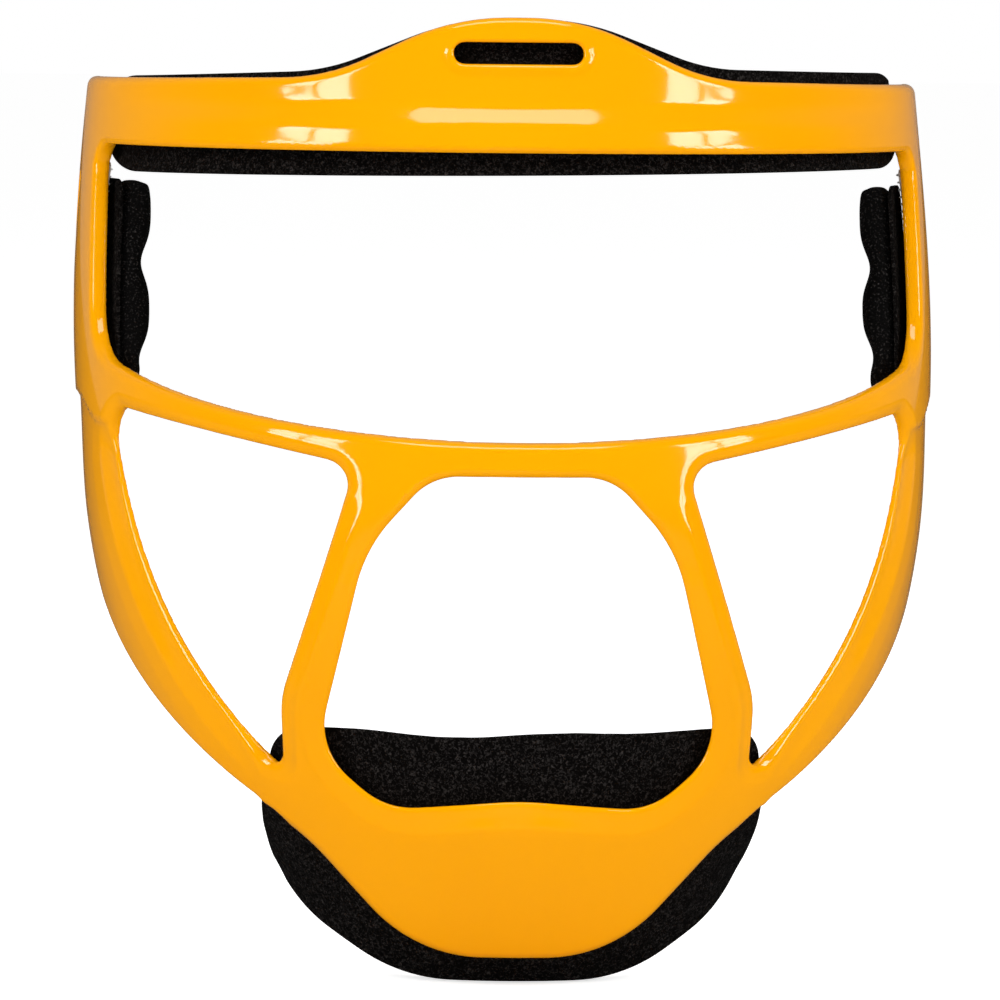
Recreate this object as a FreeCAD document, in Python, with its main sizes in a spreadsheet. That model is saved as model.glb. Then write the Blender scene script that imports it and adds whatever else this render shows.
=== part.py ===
import FreeCAD, Part
import math
import os
import Sketcher
from FreeCAD import Placement, Rotation, Vector

# Face guard for infield players: one moulded frame and four padded contacts held by hook tape.
# Millimetres. The front faces -Y, Z is up, and +X is to the right seen from in front.
# The origin lies midway between the temple plates, level with the middle of the side slots.

DIMENSIONS = {
    # the form that the frame is moulded on: a stack of round sections
    "half_width": 91.0,          # widest section's radius
    "reach": 109.5,              # how far the most forward section stands before the origin
    "crown_level": 60.0,
    "crown_inset": 3.5,
    "crown_setback": 47.5,
    "brow_level": 20.0,
    "brow_inset": 1.2,
    "brow_setback": 33.5,
    "eye_level": -20.0,
    "eye_inset": 0.0,
    "eye_setback": 15.5,
    "cheek_level": -55.0,
    "cheek_inset": 3.0,
    "cheek_setback": 2.5,
    "mouth_level": -85.0,
    "mouth_inset": 10.0,
    "mouth_setback": 0.0,
    "chin_level": -112.0,
    "chin_inset": 27.0,
    "chin_setback": 3.5,
    "throat_level": -150.0,
    "throat_inset": 43.0,
    "throat_setback": 23.5,
    # layers, from the frame's outer face inwards
    "wall": 3.4,
    "tape_thickness": 1.2,
    "pad_clearance": 0.3,
    "backing_thickness": 0.8,
    "foam_thickness": 6.5,
    "cover_thickness": 0.8,
    # brow bar
    "brow_top": 33.4,
    "brow_bottom": 20.0,
    "shoulder_half": 39.0,
    "shoulder_top": 34.9,
    "shoulder_blend": 40.0,
    "hump_half": 13.0,
    "hump_top": 47.4,
    "hump_blend": 48.0,
    # temple plates and their slots for the harness
    "plate_rear": 12.8,
    "plate_bottom": -30.0,
    "plate_blend": 16.0,
    "plate_front_top": -9.5,
    "slot_height": 26.5,
    "slot_width": 4.4,
    "slot_rear_land": 5.6,
    "slot_top_land": 5.1,
    # eye opening and eye bar
    "eye_corner_y": -31.0,
    "eye_corner_z": -22.6,
    "eye_corner_blend": 22.0,
    "eye_upper_blend": 4.0,
    "eye_front_z": -39.4,
    # jaw bars
    "jaw_rear_upper_y": -20.0,
    "jaw_rear_upper_z": -57.0,
    "jaw_rear_lower_y": -32.0,
    "jaw_rear_lower_z": -74.0,
    "jaw_rear_blend": 26.0,
    "jaw_foot_setback": 29.5,
    "jaw_foot_z": -111.0,
    "cheek_corner_y": -38.6,
    "cheek_corner_z": -33.2,
    "cheek_corner_blend": 6.0,
    "cheek_foot_setback": 23.8,
    "cheek_foot_z": -103.0,
    "cheek_foot_blend": 2.0,
    # mouth bars
    "mouth_bar_top_x": 33.2,
    "mouth_bar_top_z": -42.2,
    "mouth_bar_top_blend": 5.0,
    "mouth_bar_knee_x": 47.6,
    "mouth_bar_knee_z": -89.0,
    "mouth_bar_knee_blend": 20.0,
    "mouth_bar_foot_x": 46.9,
    "cheek_top_slope": 0.186,
    # mouth opening
    "nose_notch_half": 18.0,
    "nose_notch_top": -43.9,
    "nose_notch_blend": 12.0,
    "mouth_upper_half": 31.0,
    "mouth_upper_z": -58.2,
    "mouth_upper_blend": 30.0,
    "mouth_corner_half": 40.4,
    "mouth_corner_z": -99.2,
    "mouth_corner_blend": 14.0,
    "mouth_lower_half": 26.5,
    "mouth_lower_z": -110.7,
    "mouth_lower_blend": 14.0,
    "chin_lip_z": -108.2,
    "chin_lip_blend": 60.0,
    # chin cup
    "jaw_line_inset": 11.0,
    "jaw_line_z": -91.0,
    "cup_side_inset": 50.0,
    "cup_side_z": -119.0,
    "cup_side_blend": 40.0,
    "cup_floor_half": 20.0,
    "cup_floor_z": -141.8,
    "cup_floor_blend": 30.0,
    # forehead pad
    "forehead_side_inset": 7.2,
    "forehead_drop": 4.6,
    "forehead_inset": 0.4,
    "forehead_rise": 1.8,
    "forehead_blend": 6.0,
    # temple pads
    "temple_spacing": 2.8,
    "temple_drop": 8.9,
    "temple_front_upper": 5.5,
    "temple_front_lower": 4.5,
    "temple_slot_gap": 2.2,
    "temple_rear_lean": 2.6,
    "temple_blend": 6.0,
    # chin pad
    "chin_pad_rise": 12.9,
    "chin_pad_inset": 42.5,
    "chin_pad_side_inset": 39.5,
    "chin_pad_side_z": -114.0,
    "chin_pad_under_inset": 44.2,
    "chin_pad_under_z": -132.5,
    "chin_pad_floor_margin": 2.5,
    "chin_pad_floor_drop": 5.7,
    "chin_pad_blend": 14.0,
    "chin_pad_setback": 52.5,
    # hook tape
    "tape_blend": 2.0,
    "brow_tape_half_length": 15.0,
    "brow_tape_half_height": 4.5,
    "brow_tape_rise": 3.0,
    "brow_tape_spacing": 45.0,
    "temple_tape_height": 15.0,
    "temple_tape_slot_gap": 3.6,
    "temple_tape_upper_drop": 4.0,
    "temple_tape_upper_length": 10.0,
    "temple_tape_lower_drop": 8.25,
    "temple_tape_lower_lean": 5.2,
    "temple_tape_lower_length": 18.0,
    "chin_tape_x": 21.0,
    "chin_tape_drop": 6.3,
    "chin_tape_length": 16.0,
    "chin_tape_height": 15.0,
    # how far a cutting profile runs past the form
    "overrun": 20.0,
}

STATIONS = ["crown", "brow", "eye", "cheek", "mouth", "chin", "throat"]
FRONT_VIEW = Rotation(Vector(1, 0, 0), 90)        # sketch axes lie along X and Z
SIDE_VIEW = Rotation(Vector(1, 1, 1), 120)        # sketch axes lie along Y and Z
SIDES = {"left": -1, "right": 1}                  # as seen from in front

document = FreeCAD.newDocument("face_guard")
sheet = document.addObject("Spreadsheet::Sheet", "dims")
for row, (alias, number) in enumerate(DIMENSIONS.items(), start=1):
    sheet.set(f"A{row}", alias.replace("_", " "))
    sheet.set(f"B{row}", str(number))
    sheet.setAlias(f"B{row}", alias)
document.recompute()


def size(text):
    """Write each sheet name in a formula the way an expression reads it."""
    words = sorted(DIMENSIONS, key=len, reverse=True)
    for word in words:
        text = text.replace("@" + word, "dims." + word)
    return text


def value(text):
    """The number that a formula of sheet names gives now."""
    return float(sheet.evalExpression(size(text)))


def constrain(sketch, fixed, driven):
    """Add a sketch's plain constraints, then its dimensions, each tied to the sheet."""
    sketch.addConstraint([Sketcher.Constraint(*entry) for entry in fixed])
    dimensions = [Sketcher.Constraint(*entry, value(formula)) for entry, formula in driven]
    for index, (entry, formula) in zip(sketch.addConstraint(dimensions), driven):
        name = f"{entry[0]}_{index}"
        sketch.renameConstraint(index, name)
        sketch.setExpression(f"Constraints.{name}", size(formula))


def section(station, offset, name):
    """One round section of the form, with its radius reduced by the offset."""
    sketch = document.addObject("Sketcher::SketchObject", f"{name}_{station}")
    radius = f"@half_width - @{station}_inset - ({offset})"
    centre = f"@half_width - @{station}_inset + @{station}_setback - @reach"
    circle = Part.Circle(Vector(0, value(centre), 0), Vector(0, 0, 1), value(radius))
    sketch.addGeometry(circle, False)
    on_axis = ("PointOnObject", 0, 3, -2)
    constrain(sketch, [on_axis], [(("DistanceY", -1, 1, 0, 3), centre), (("Radius", 0), radius)])
    sketch.setExpression("Placement.Base.z", size(f"@{station}_level"))
    return sketch


def form(name, offset):
    """The whole form as a solid, a chosen depth below the frame's outer face."""
    loft = document.addObject("Part::Loft", name)
    loft.Sections = [section(station, offset, name) for station in STATIONS]
    loft.Solid = True
    loft.Ruled = False
    return loft


def rounded_outline(name, corners):
    """A closed outline whose corners, (across, up, radius), are formulas of sheet names."""
    sketch = document.addObject("Sketcher::SketchObject", name)
    points = [Vector(value(across), value(up), 0) for across, up, radius in corners]
    count = len(points)
    arcs = []
    for index, corner in enumerate(points):
        back = (points[index - 1] - corner).normalize()
        ahead = (points[(index + 1) % count] - corner).normalize()
        half_angle = back.getAngle(ahead) / 2
        radius = value(corners[index][2])
        middle = (back + ahead).normalize()
        run = radius / math.tan(half_angle)
        crest = corner + middle * (radius / math.sin(half_angle) - radius)
        arcs.append((corner + back * run, crest, corner + ahead * run))
    lines = []
    for index in range(count):
        following = arcs[(index + 1) % count]
        lines.append(sketch.addGeometry(Part.LineSegment(arcs[index][2], following[0]), False))
    fixed = []
    driven = []
    for index, (start, crest, end) in enumerate(arcs):
        across, up, radius = corners[index]
        arc = sketch.addGeometry(Part.Arc(start, crest, end), False)
        forwards = (sketch.getPoint(arc, 1) - start).Length < (sketch.getPoint(arc, 1) - end).Length
        near, far = (1, 2) if forwards else (2, 1)
        corner = sketch.addGeometry(Part.Point(points[index]), True)
        fixed.append(("Tangent", lines[index - 1], 2, arc, near))
        fixed.append(("Tangent", arc, far, lines[index], 1))
        fixed.append(("PointOnObject", corner, 1, lines[index - 1]))
        fixed.append(("PointOnObject", corner, 1, lines[index]))
        driven.append((("Radius", arc), radius))
        driven.append((("DistanceX", -1, 1, corner, 1), across))
        driven.append((("DistanceY", -1, 1, corner, 1), up))
    constrain(sketch, fixed, driven)
    return sketch


def mirrored(half):
    """An outline's right half, listed from its top centre round to its bottom, made whole."""
    left = [(f"-({across})", up, radius) for across, up, radius in reversed(half) if across != "0"]
    return half + left


def front_prism(name, corners, rear="-@reach / 2"):
    """An outline seen from in front, swept forwards from a plane through past the form."""
    sketch = rounded_outline(f"{name}_outline", corners)
    sketch.Placement = Placement(Vector(0, value(rear), 0), FRONT_VIEW)
    sketch.setExpression("Placement.Base.y", size(rear))
    prism = document.addObject("Part::Extrusion", name)
    prism.Base = sketch
    prism.DirMode = "Custom"
    prism.Dir = Vector(0, -1, 0)
    prism.Solid = True
    prism.setExpression("LengthFwd", size(f"@reach + @overrun + ({rear})"))
    return prism


def side_prism(name, corners, side=0):
    """An outline seen from the side, swept across the form, or outwards on one side of it."""
    sketch = rounded_outline(f"{name}_outline", corners)
    sketch.Placement = Placement(Vector(0, 0, 0), SIDE_VIEW)
    prism = document.addObject("Part::Extrusion", name)
    prism.Base = sketch
    prism.DirMode = "Custom"
    prism.Dir = Vector(side if side else 1, 0, 0)
    prism.Solid = True
    prism.Symmetric = side == 0
    reach_across = "@half_width + @overrun"
    prism.setExpression("LengthFwd", size(reach_across if side else f"2 * ({reach_across})"))
    return prism


def box_corners(across, up, width, height, radius):
    """The corners of a rounded rectangle about its centre."""
    return [
        (f"{across} + ({width}) / 2", f"{up} + ({height}) / 2", radius),
        (f"{across} + ({width}) / 2", f"{up} - ({height}) / 2", radius),
        (f"{across} - ({width}) / 2", f"{up} - ({height}) / 2", radius),
        (f"{across} - ({width}) / 2", f"{up} + ({height}) / 2", radius),
    ]


def cut(name, base, tool):
    result = document.addObject("Part::Cut", name)
    result.Base = base
    result.Tool = tool
    return result


def common(name, shapes):
    result = document.addObject("Part::MultiCommon", name)
    result.Shapes = shapes
    return result


# depths below the frame's outer face
tape_face = "@wall"
tape_back = "@wall + @tape_thickness"
backing_face = f"{tape_back} + @pad_clearance"
foam_face = f"{backing_face} + @backing_thickness"
cover_face = f"{foam_face} + @foam_thickness"
skin_face = f"{cover_face} + @cover_thickness"

form_outer = form("form_outer", "0")
form_wall = form("form_wall", tape_face)
form_tape = form("form_tape", tape_back)
form_backing = form("form_backing", backing_face)
form_foam = form("form_foam", foam_face)
form_cover = form("form_cover", cover_face)
form_skin = form("form_skin", skin_face)

frame_shell = cut("frame_shell", form_outer, form_wall)
tape_shell = cut("tape_shell", form_wall, form_tape)
pad_shells = {
    "loop_backing": cut("backing_shell", form_backing, form_foam),
    "foam": cut("foam_shell", form_foam, form_cover),
    "cover": cut("cover_shell", form_cover, form_skin),
}

parts = []


def keep(item, label):
    """Make an object one of the part's nodes."""
    item.Label = label
    parts.append(item)
    return item


# ---------------------------------------------------------------- face frame
far_front = "-@reach - @overrun"
above = "@hump_top + @overrun / 2"
below = "@cup_floor_z - @overrun / 4"

side_profile = side_prism("frame_side_profile", [
    (far_front, above, "2"),
    ("@plate_rear", above, "2"),
    ("@plate_rear", "@plate_bottom", "@plate_blend"),
    ("@jaw_rear_upper_y", "@jaw_rear_upper_z", "@jaw_rear_blend"),
    ("@jaw_rear_lower_y", "@jaw_rear_lower_z", "@jaw_rear_blend"),
    ("@jaw_foot_setback - @reach", "@jaw_foot_z", "2"),
    ("@jaw_foot_setback - @reach", below, "2"),
    (far_front, below, "2"),
])

frame_front_half = [
    ("@hump_half", "@hump_top", "@hump_blend"),
    ("@shoulder_half", "@shoulder_top", "@shoulder_blend"),
    ("@half_width + @overrun", "@brow_top", "2"),
    ("@half_width + @overrun", "@jaw_line_z", "2"),
    ("@half_width - @jaw_line_inset", "@jaw_line_z", "2"),
    ("@half_width - @cup_side_inset", "@cup_side_z", "@cup_side_blend"),
    ("@cup_floor_half", "@cup_floor_z", "@cup_floor_blend"),
]
front_profile = front_prism("frame_front_profile", mirrored(frame_front_half), "@plate_rear + @overrun")

# The eye opening runs from plate to plate, and its lower edge is the eye bar's top.
eye_slope = "(@eye_corner_z - @eye_front_z) / (@eye_corner_y + @reach)"
eye_far_z = f"@eye_corner_z - ({eye_slope}) * (@eye_corner_y + @reach + @overrun)"
eye_opening = side_prism("eye_opening", [
    (far_front, "@brow_bottom", "2"),
    ("@plate_front_top", "@brow_bottom", "@eye_upper_blend"),
    ("@eye_corner_y", "@eye_corner_z", "@eye_corner_blend"),
    (far_front, eye_far_z, "2"),
])

# A cheek opening lies where two profiles meet: its rear edge shows from the side,
# and its top and inner edges show from in front.
cheek_side = side_prism("cheek_side_profile", [
    (far_front, "@cheek_corner_z", "2"),
    ("@cheek_corner_y", "@cheek_corner_z", "@cheek_corner_blend"),
    ("@cheek_foot_setback - @reach", "@cheek_foot_z", "@cheek_foot_blend"),
    (far_front, "@cheek_foot_z", "2"),
])


def cheek_opening(side_name, side):
    outer = "@half_width + @overrun"
    outer_top = f"@mouth_bar_top_z + @cheek_top_slope * ({outer} - @mouth_bar_top_x)"
    corners = [
        (outer, outer_top, "2"),
        ("@mouth_bar_top_x", "@mouth_bar_top_z", "@mouth_bar_top_blend"),
        ("@mouth_bar_knee_x", "@mouth_bar_knee_z", "@mouth_bar_knee_blend"),
        ("@mouth_bar_foot_x", "@cheek_foot_z", "1"),
        (outer, "@cheek_foot_z", "2"),
    ]
    corners = [(f"{side} * ({across})", up, radius) for across, up, radius in corners]
    front = front_prism(f"cheek_front_profile_{side_name}", corners, "-@slot_height / 2")
    return common(f"cheek_opening_{side_name}", [cheek_side, front])


mouth_half = [
    ("@nose_notch_half", "@nose_notch_top", "@nose_notch_blend"),
    ("@mouth_upper_half", "@mouth_upper_z", "@mouth_upper_blend"),
    ("@mouth_corner_half", "@mouth_corner_z", "@mouth_corner_blend"),
    ("@mouth_lower_half", "@mouth_lower_z", "@mouth_lower_blend"),
    ("0", "@chin_lip_z", "@chin_lip_blend"),
]
mouth_opening = front_prism("mouth_opening", mirrored(mouth_half))

slot_round = "@slot_width / 2 - 0.05"
top_slot_level = "@hump_top - @slot_top_land - @slot_width / 2"
side_slot_y = "@plate_rear - @slot_rear_land - @slot_width / 2"
slot_front = f"{side_slot_y} - @slot_width / 2"
top_slot = front_prism(
    "top_slot", box_corners("0", top_slot_level, "@slot_height", "@slot_width", slot_round), "0")
side_slots = side_prism(
    "side_slots", box_corners(side_slot_y, "0", "@slot_width", "@slot_height", slot_round))

# Every edge is cut in one stencil, and the frame is the wall that the stencil covers.
stencil = common("frame_outline", [side_profile, front_profile])
openings = [eye_opening, mouth_opening, top_slot, side_slots]
openings += [cheek_opening(side_name, side) for side_name, side in SIDES.items()]
for opening in openings:
    stencil = cut(f"stencil_with_{opening.Name}", stencil, opening)
keep(common("frame", [frame_shell, stencil]), "face_frame")

# ---------------------------------------------------------------- hook tape on the frame
for place, offset in {"left": -1, "centre": 0, "right": 1}.items():
    strip = box_corners(
        f"{offset} * @brow_tape_spacing", "@brow_bottom + @brow_tape_rise + @brow_tape_half_height",
        "2 * @brow_tape_half_length", "2 * @brow_tape_half_height", "@tape_blend")
    prism = front_prism(f"brow_tape_prism_{place}", strip, "0")
    keep(common(f"brow_tape_{place}", [tape_shell, prism]), f"forehead_hook_tape_{place}")

tape_rear = f"{slot_front} - @temple_tape_slot_gap"
temple_tape_centres = {
    "upper": (f"{tape_rear} - @temple_tape_upper_length / 2",
              "@brow_bottom - @temple_tape_upper_drop - @temple_tape_height / 2"),
    "lower": (f"{tape_rear} - @temple_tape_lower_lean - @temple_tape_lower_length / 2",
              "-@slot_height / 2 - @temple_tape_lower_drop - @temple_tape_height / 2"),
}
for side_name, side in SIDES.items():
    for height, (centre_y, centre_z) in temple_tape_centres.items():
        strip = box_corners(
            centre_y, centre_z, f"@temple_tape_{height}_length", "@temple_tape_height", "@tape_blend")
        prism = side_prism(f"temple_tape_prism_{side_name}_{height}", strip, side)
        tape = common(f"temple_tape_{side_name}_{height}", [tape_shell, prism])
        keep(tape, f"temple_hook_tape_{side_name}_{height}")
    strip = box_corners(
        f"{side} * @chin_tape_x", "@chin_lip_z - @chin_tape_drop - @chin_tape_height / 2",
        "@chin_tape_length", "@chin_tape_height", "@tape_blend")
    prism = front_prism(f"chin_tape_prism_{side_name}", strip)
    keep(common(f"chin_tape_{side_name}", [tape_shell, prism]), f"chin_hook_tape_{side_name}")

# ---------------------------------------------------------------- pads
forehead_side = "@half_width - @forehead_side_inset"
forehead_bottom = "@brow_bottom - @forehead_drop"
forehead_half = [
    ("@hump_half", "@hump_top - @forehead_inset", "@hump_blend"),
    ("@shoulder_half", "@shoulder_top + @forehead_rise", "@shoulder_blend"),
    (forehead_side, "@brow_top + @forehead_rise", "@forehead_blend"),
    (forehead_side, forehead_bottom, "@forehead_blend"),
]
chin_half = [
    ("@half_width - @chin_pad_inset", "@chin_lip_z + @chin_pad_rise", "@chin_pad_blend / 2"),
    ("@half_width - @chin_pad_side_inset", "@chin_pad_side_z", "2 * @chin_pad_blend"),
    ("@half_width - @chin_pad_under_inset", "@chin_pad_under_z", "2 * @chin_pad_blend"),
    ("@cup_floor_half + @chin_pad_floor_margin", "@cup_floor_z - @chin_pad_floor_drop",
     "5 / 2 * @chin_pad_blend"),
]
temple_top = f"{forehead_bottom} - @temple_spacing"
temple_bottom = "@eye_corner_z - @temple_drop"
temple_rear = f"{slot_front} - @temple_slot_gap"
temple_corners = [
    ("@plate_front_top - @temple_front_upper", temple_top, "@temple_blend"),
    (temple_rear, temple_top, "@temple_blend"),
    (f"{temple_rear} - @temple_rear_lean", temple_bottom, "@temple_blend"),
    ("@eye_corner_y - @temple_front_lower", temple_bottom, "@temple_blend"),
]
pad_prisms = {
    "forehead_pad": front_prism("forehead_prism", mirrored(forehead_half), "0"),
    "chin_pad": front_prism("chin_prism", mirrored(chin_half), "@chin_pad_setback - @reach"),
}
for side_name, side in SIDES.items():
    pad_prisms[f"temple_pad_{side_name}"] = side_prism(
        f"temple_prism_{side_name}", temple_corners, side)
for pad, prism in pad_prisms.items():
    for shell, solid in pad_shells.items():
        keep(common(f"{pad}_{shell}_piece", [solid, prism]), f"{pad}_{shell}")

document.recompute()

faults = [item.Name for item in document.Objects if {"Invalid", "Error"} & set(item.State)]
for item in parts:
    if item.Shape.isNull() or not item.Shape.isValid():
        faults.append(item.Label)
    elif item.Shape.Volume <= 0 or len(item.Shape.Solids) != 1:
        faults.append(f"{item.Label} has {len(item.Shape.Solids)} solids")
if faults:
    raise RuntimeError("faulty objects: " + ", ".join(faults))

os.makedirs("parts", exist_ok=True)
for item in parts:
    item.Shape.exportStep(f"parts/{item.Label}.step")
    box = item.Shape.optimalBoundingBox(False)
    print(f"{item.Label}: volume {item.Shape.Volume:.0f}, "
          f"x {box.XMin:.1f}..{box.XMax:.1f}, y {box.YMin:.1f}..{box.YMax:.1f}, "
          f"z {box.ZMin:.1f}..{box.ZMax:.1f}")
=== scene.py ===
import math

import bmesh
import bpy
import numpy as np
from mathutils import Matrix, Vector
from mathutils.kdtree import KDTree


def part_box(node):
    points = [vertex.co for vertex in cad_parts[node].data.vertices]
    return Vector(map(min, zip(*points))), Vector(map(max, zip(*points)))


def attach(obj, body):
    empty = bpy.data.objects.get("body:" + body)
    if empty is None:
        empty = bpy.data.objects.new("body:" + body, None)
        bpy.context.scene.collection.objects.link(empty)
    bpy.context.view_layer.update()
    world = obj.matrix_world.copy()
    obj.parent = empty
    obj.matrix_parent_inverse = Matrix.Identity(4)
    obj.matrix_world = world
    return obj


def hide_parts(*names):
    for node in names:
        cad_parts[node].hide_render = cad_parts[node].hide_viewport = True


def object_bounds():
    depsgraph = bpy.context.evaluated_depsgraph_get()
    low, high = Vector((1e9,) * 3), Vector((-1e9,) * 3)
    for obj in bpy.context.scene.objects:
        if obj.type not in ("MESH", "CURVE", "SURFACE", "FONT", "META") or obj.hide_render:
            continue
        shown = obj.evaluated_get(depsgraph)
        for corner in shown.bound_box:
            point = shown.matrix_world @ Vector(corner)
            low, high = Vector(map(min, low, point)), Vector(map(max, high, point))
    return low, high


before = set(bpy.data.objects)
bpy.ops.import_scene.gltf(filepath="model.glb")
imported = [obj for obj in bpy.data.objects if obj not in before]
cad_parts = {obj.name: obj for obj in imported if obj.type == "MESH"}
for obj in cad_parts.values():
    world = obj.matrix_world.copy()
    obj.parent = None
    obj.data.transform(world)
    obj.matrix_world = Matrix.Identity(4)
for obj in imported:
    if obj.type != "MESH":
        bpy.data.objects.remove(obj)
cadLow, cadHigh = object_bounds()
mm = 0.001
print("frame loaded")


# Numbers below are millimetres until a mesh is written.

def ease(value, start, end):
    share = np.clip((value - start) / (end - start), 0.0, 1.0)
    return share * share * (3.0 - 2.0 * share)


def ramp(distance, width, depth):  # a flat facet, full depth at the edge and none past its width
    share = np.clip(1.0 - distance / width, 0.0, 1.0)
    return depth * share


def meshArrays(mesh):
    points = np.empty(len(mesh.vertices) * 3)
    mesh.vertices.foreach_get("co", points)
    return points.reshape(-1, 3) / mm


def edgePairs(mesh):
    pairs = np.empty(len(mesh.edges) * 2, int)
    mesh.edges.foreach_get("vertices", pairs)
    return pairs.reshape(-1, 2)


def setPoints(mesh, points):
    mesh.vertices.foreach_set("co", (points * mm).astype(np.float32).ravel())
    mesh.update()


def relax(points, pairs, amount):  # each point moves towards the mean of its neighbours
    total = np.zeros_like(points)
    count = np.zeros(len(points))
    for near, far in (pairs.T, pairs.T[::-1]):
        np.add.at(total, near, points[far])
        np.add.at(count, near, 1)
    return points + amount * (total / np.maximum(count, 1)[:, None] - points)


def weldedCopy(nodes, name):  # the CAD nodes' triangles as one closed mesh
    bm = bmesh.new()
    for node in nodes:
        bm.from_mesh(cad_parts[node].data)
    bmesh.ops.remove_doubles(bm, verts=bm.verts, dist=2e-6)
    mesh = bpy.data.meshes.new(name)
    bm.to_mesh(mesh)
    bm.free()
    return mesh


def addObject(name, mesh, material=None):
    thing = bpy.data.objects.new(name, mesh)
    bpy.context.scene.collection.objects.link(thing)
    if material:
        mesh.materials.clear()
        mesh.materials.append(material)
    return thing


def baked(thing):  # the object's mesh with its modifiers applied
    graph = bpy.context.evaluated_depsgraph_get()
    mesh = bpy.data.meshes.new_from_object(thing.evaluated_get(graph))
    thing.modifiers.clear()
    thing.data = mesh
    return mesh


def voxelised(mesh, name, voxel):
    thing = addObject(name, mesh)
    remesh = thing.modifiers.new("voxels", "REMESH")
    remesh.mode = "VOXEL"
    remesh.voxel_size = voxel * mm
    baked(thing)
    return thing


def smoothShading(mesh):
    mesh.polygons.foreach_set("use_smooth", [True] * len(mesh.polygons))
    mesh.update()


# The mould: at each level the outer face is part of a circle, read back from the CAD frame.

mouldFit = {"degree": 10, "wall": 3.4, "firstCentre": -20.0, "frameFaces": (0.0, 3.4),
            "foamFaces": (5.7, 12.2), "limits": (4.0, 3.0, 2.0, 1.5, 1.0, 0.7, 0.5, 0.5),
            "outwardFacing": 0.6, "roughMiss": 0.6, "roughScale": 160.0, "slopeStep": 0.5}


def readMould():
    source = weldedCopy(["face_frame"], "frame_source")
    points = meshArrays(source)
    source.calc_loop_triangles()
    corners = np.array([t.vertices[:] for t in source.loop_triangles])
    a, b, c = (points[corners[:, k]] for k in range(3))
    normals = np.cross(b - a, c - a)
    normals /= np.maximum(np.linalg.norm(normals, axis=1), 1e-12)[:, None]
    middle = (a + b + c) / 3
    away = np.stack([middle[:, 0], middle[:, 1] - mouldFit["firstCentre"]], 1)
    away /= np.linalg.norm(away, axis=1)[:, None]
    facing = (normals[:, :2] * away).sum(1)
    outer = np.zeros(len(points), bool)
    outer[corners[facing > mouldFit["outwardFacing"]].ravel()] = True
    foams = [name for name in sorted(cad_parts) if name.endswith("_foam")]
    padPoints = meshArrays(weldedCopy(foams, "foam_source"))
    low, high = cadLow.z / mm, cadHigh.z / mm

    def basis(z):
        return np.polynomial.chebyshev.chebvander((2 * z - low - high) / (high - low), mouldFit["degree"])

    flat = points[outer]
    rows = np.hstack([2 * flat[:, 1:2] * basis(flat[:, 2]), basis(flat[:, 2])])
    target = (flat[:, :2] ** 2).sum(1)
    good = np.ones(len(flat), bool)
    for _ in range(3):
        answer = np.linalg.lstsq(rows[good], target[good], rcond=1e-6)[0]
        miss = np.abs(rows @ answer - target) / mouldFit["roughScale"]
        good = miss < mouldFit["roughMiss"]
    half = mouldFit["degree"] + 1
    centre = answer[:half]
    rest = basis(flat[:, 2]) @ answer[half:] + (basis(flat[:, 2]) @ centre) ** 2
    radius = np.linalg.lstsq(basis(flat[:, 2]), np.sqrt(np.maximum(rest, 1)), rcond=None)[0]
    levels = [np.array(mouldFit["frameFaces"]), np.array(mouldFit["foamFaces"])]
    everything = np.vstack([points, padPoints])
    owner = np.repeat([0, 1], [len(points), len(padPoints)])
    at = basis(everything[:, 2])
    for limit in mouldFit["limits"]:  # refine with both faces of the wall and of the foam
        offset = everything[:, 1] - at @ centre
        span = np.hypot(everything[:, 0], offset)
        depth = at @ radius - span
        wanted = np.stack([faces[np.abs(depth[:, None] - faces).argmin(1)] for faces in levels], 1)
        miss = depth - wanted[np.arange(len(depth)), owner]
        fine = np.abs(miss) < limit
        rows = np.hstack([at * (offset / span)[:, None], at])
        change = np.linalg.lstsq(rows[fine], -miss[fine], rcond=1e-9)[0]
        centre = centre + change[:half]
        radius = radius + change[half:]
    print(f"mould read back within {np.abs(miss[fine]).max():.2f} mm at {fine.mean():.0%} of points")
    return source, {"centre": lambda z: basis(z) @ centre, "radius": lambda z: basis(z) @ radius}


frameSource, mould = readMould()


def onMould(points):  # outward direction at floor level, depth below the outer face, the face's normal
    z = np.clip(points[:, 2], cadLow.z / mm, cadHigh.z / mm)
    centre, radius = mould["centre"](z), mould["radius"](z)
    away = np.stack([points[:, 0], points[:, 1] - centre, np.zeros(len(z))], 1)
    span = np.linalg.norm(away, axis=1)
    away /= span[:, None]
    step = mouldFit["slopeStep"]
    slopeZ = mould["radius"](z + step) - mould["radius"](z - step)
    slopeC = mould["centre"](z + step) - mould["centre"](z - step)
    normal = away.copy()
    normal[:, 2] = -(slopeZ + slopeC * away[:, 1])
    normal /= np.linalg.norm(normal, axis=1)[:, None]
    return away, radius - span, normal


# The frame's rims: every edge loop of the outer and of the inner face, sampled evenly and smoothed.

rimSizes = {"spacing": 0.25, "smoothing": 5, "smallLoop": 80.0, "smallSmoothing": 2, "mouthLoop": 350.0,
            "eyeLoop": 650.0, "offCentre": 20.0, "faceMatch": 0.6, "shortest": 8}


def chainLoops(pairs):
    follows = {}
    for a, b in pairs:
        follows.setdefault(a, []).append(b)
        follows.setdefault(b, []).append(a)
    loops, used = [], set()
    for start in follows:
        if start in used:
            continue
        loop, here, back = [start], start, None
        used.add(start)
        while True:
            ahead = [n for n in follows[here] if n != back and n not in used]
            if not ahead:
                break
            back, here = here, ahead[0]
            used.add(here)
            loop.append(here)
        loops.append(loop)
    return [loop for loop in loops if len(loop) > rimSizes["shortest"]]


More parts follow.
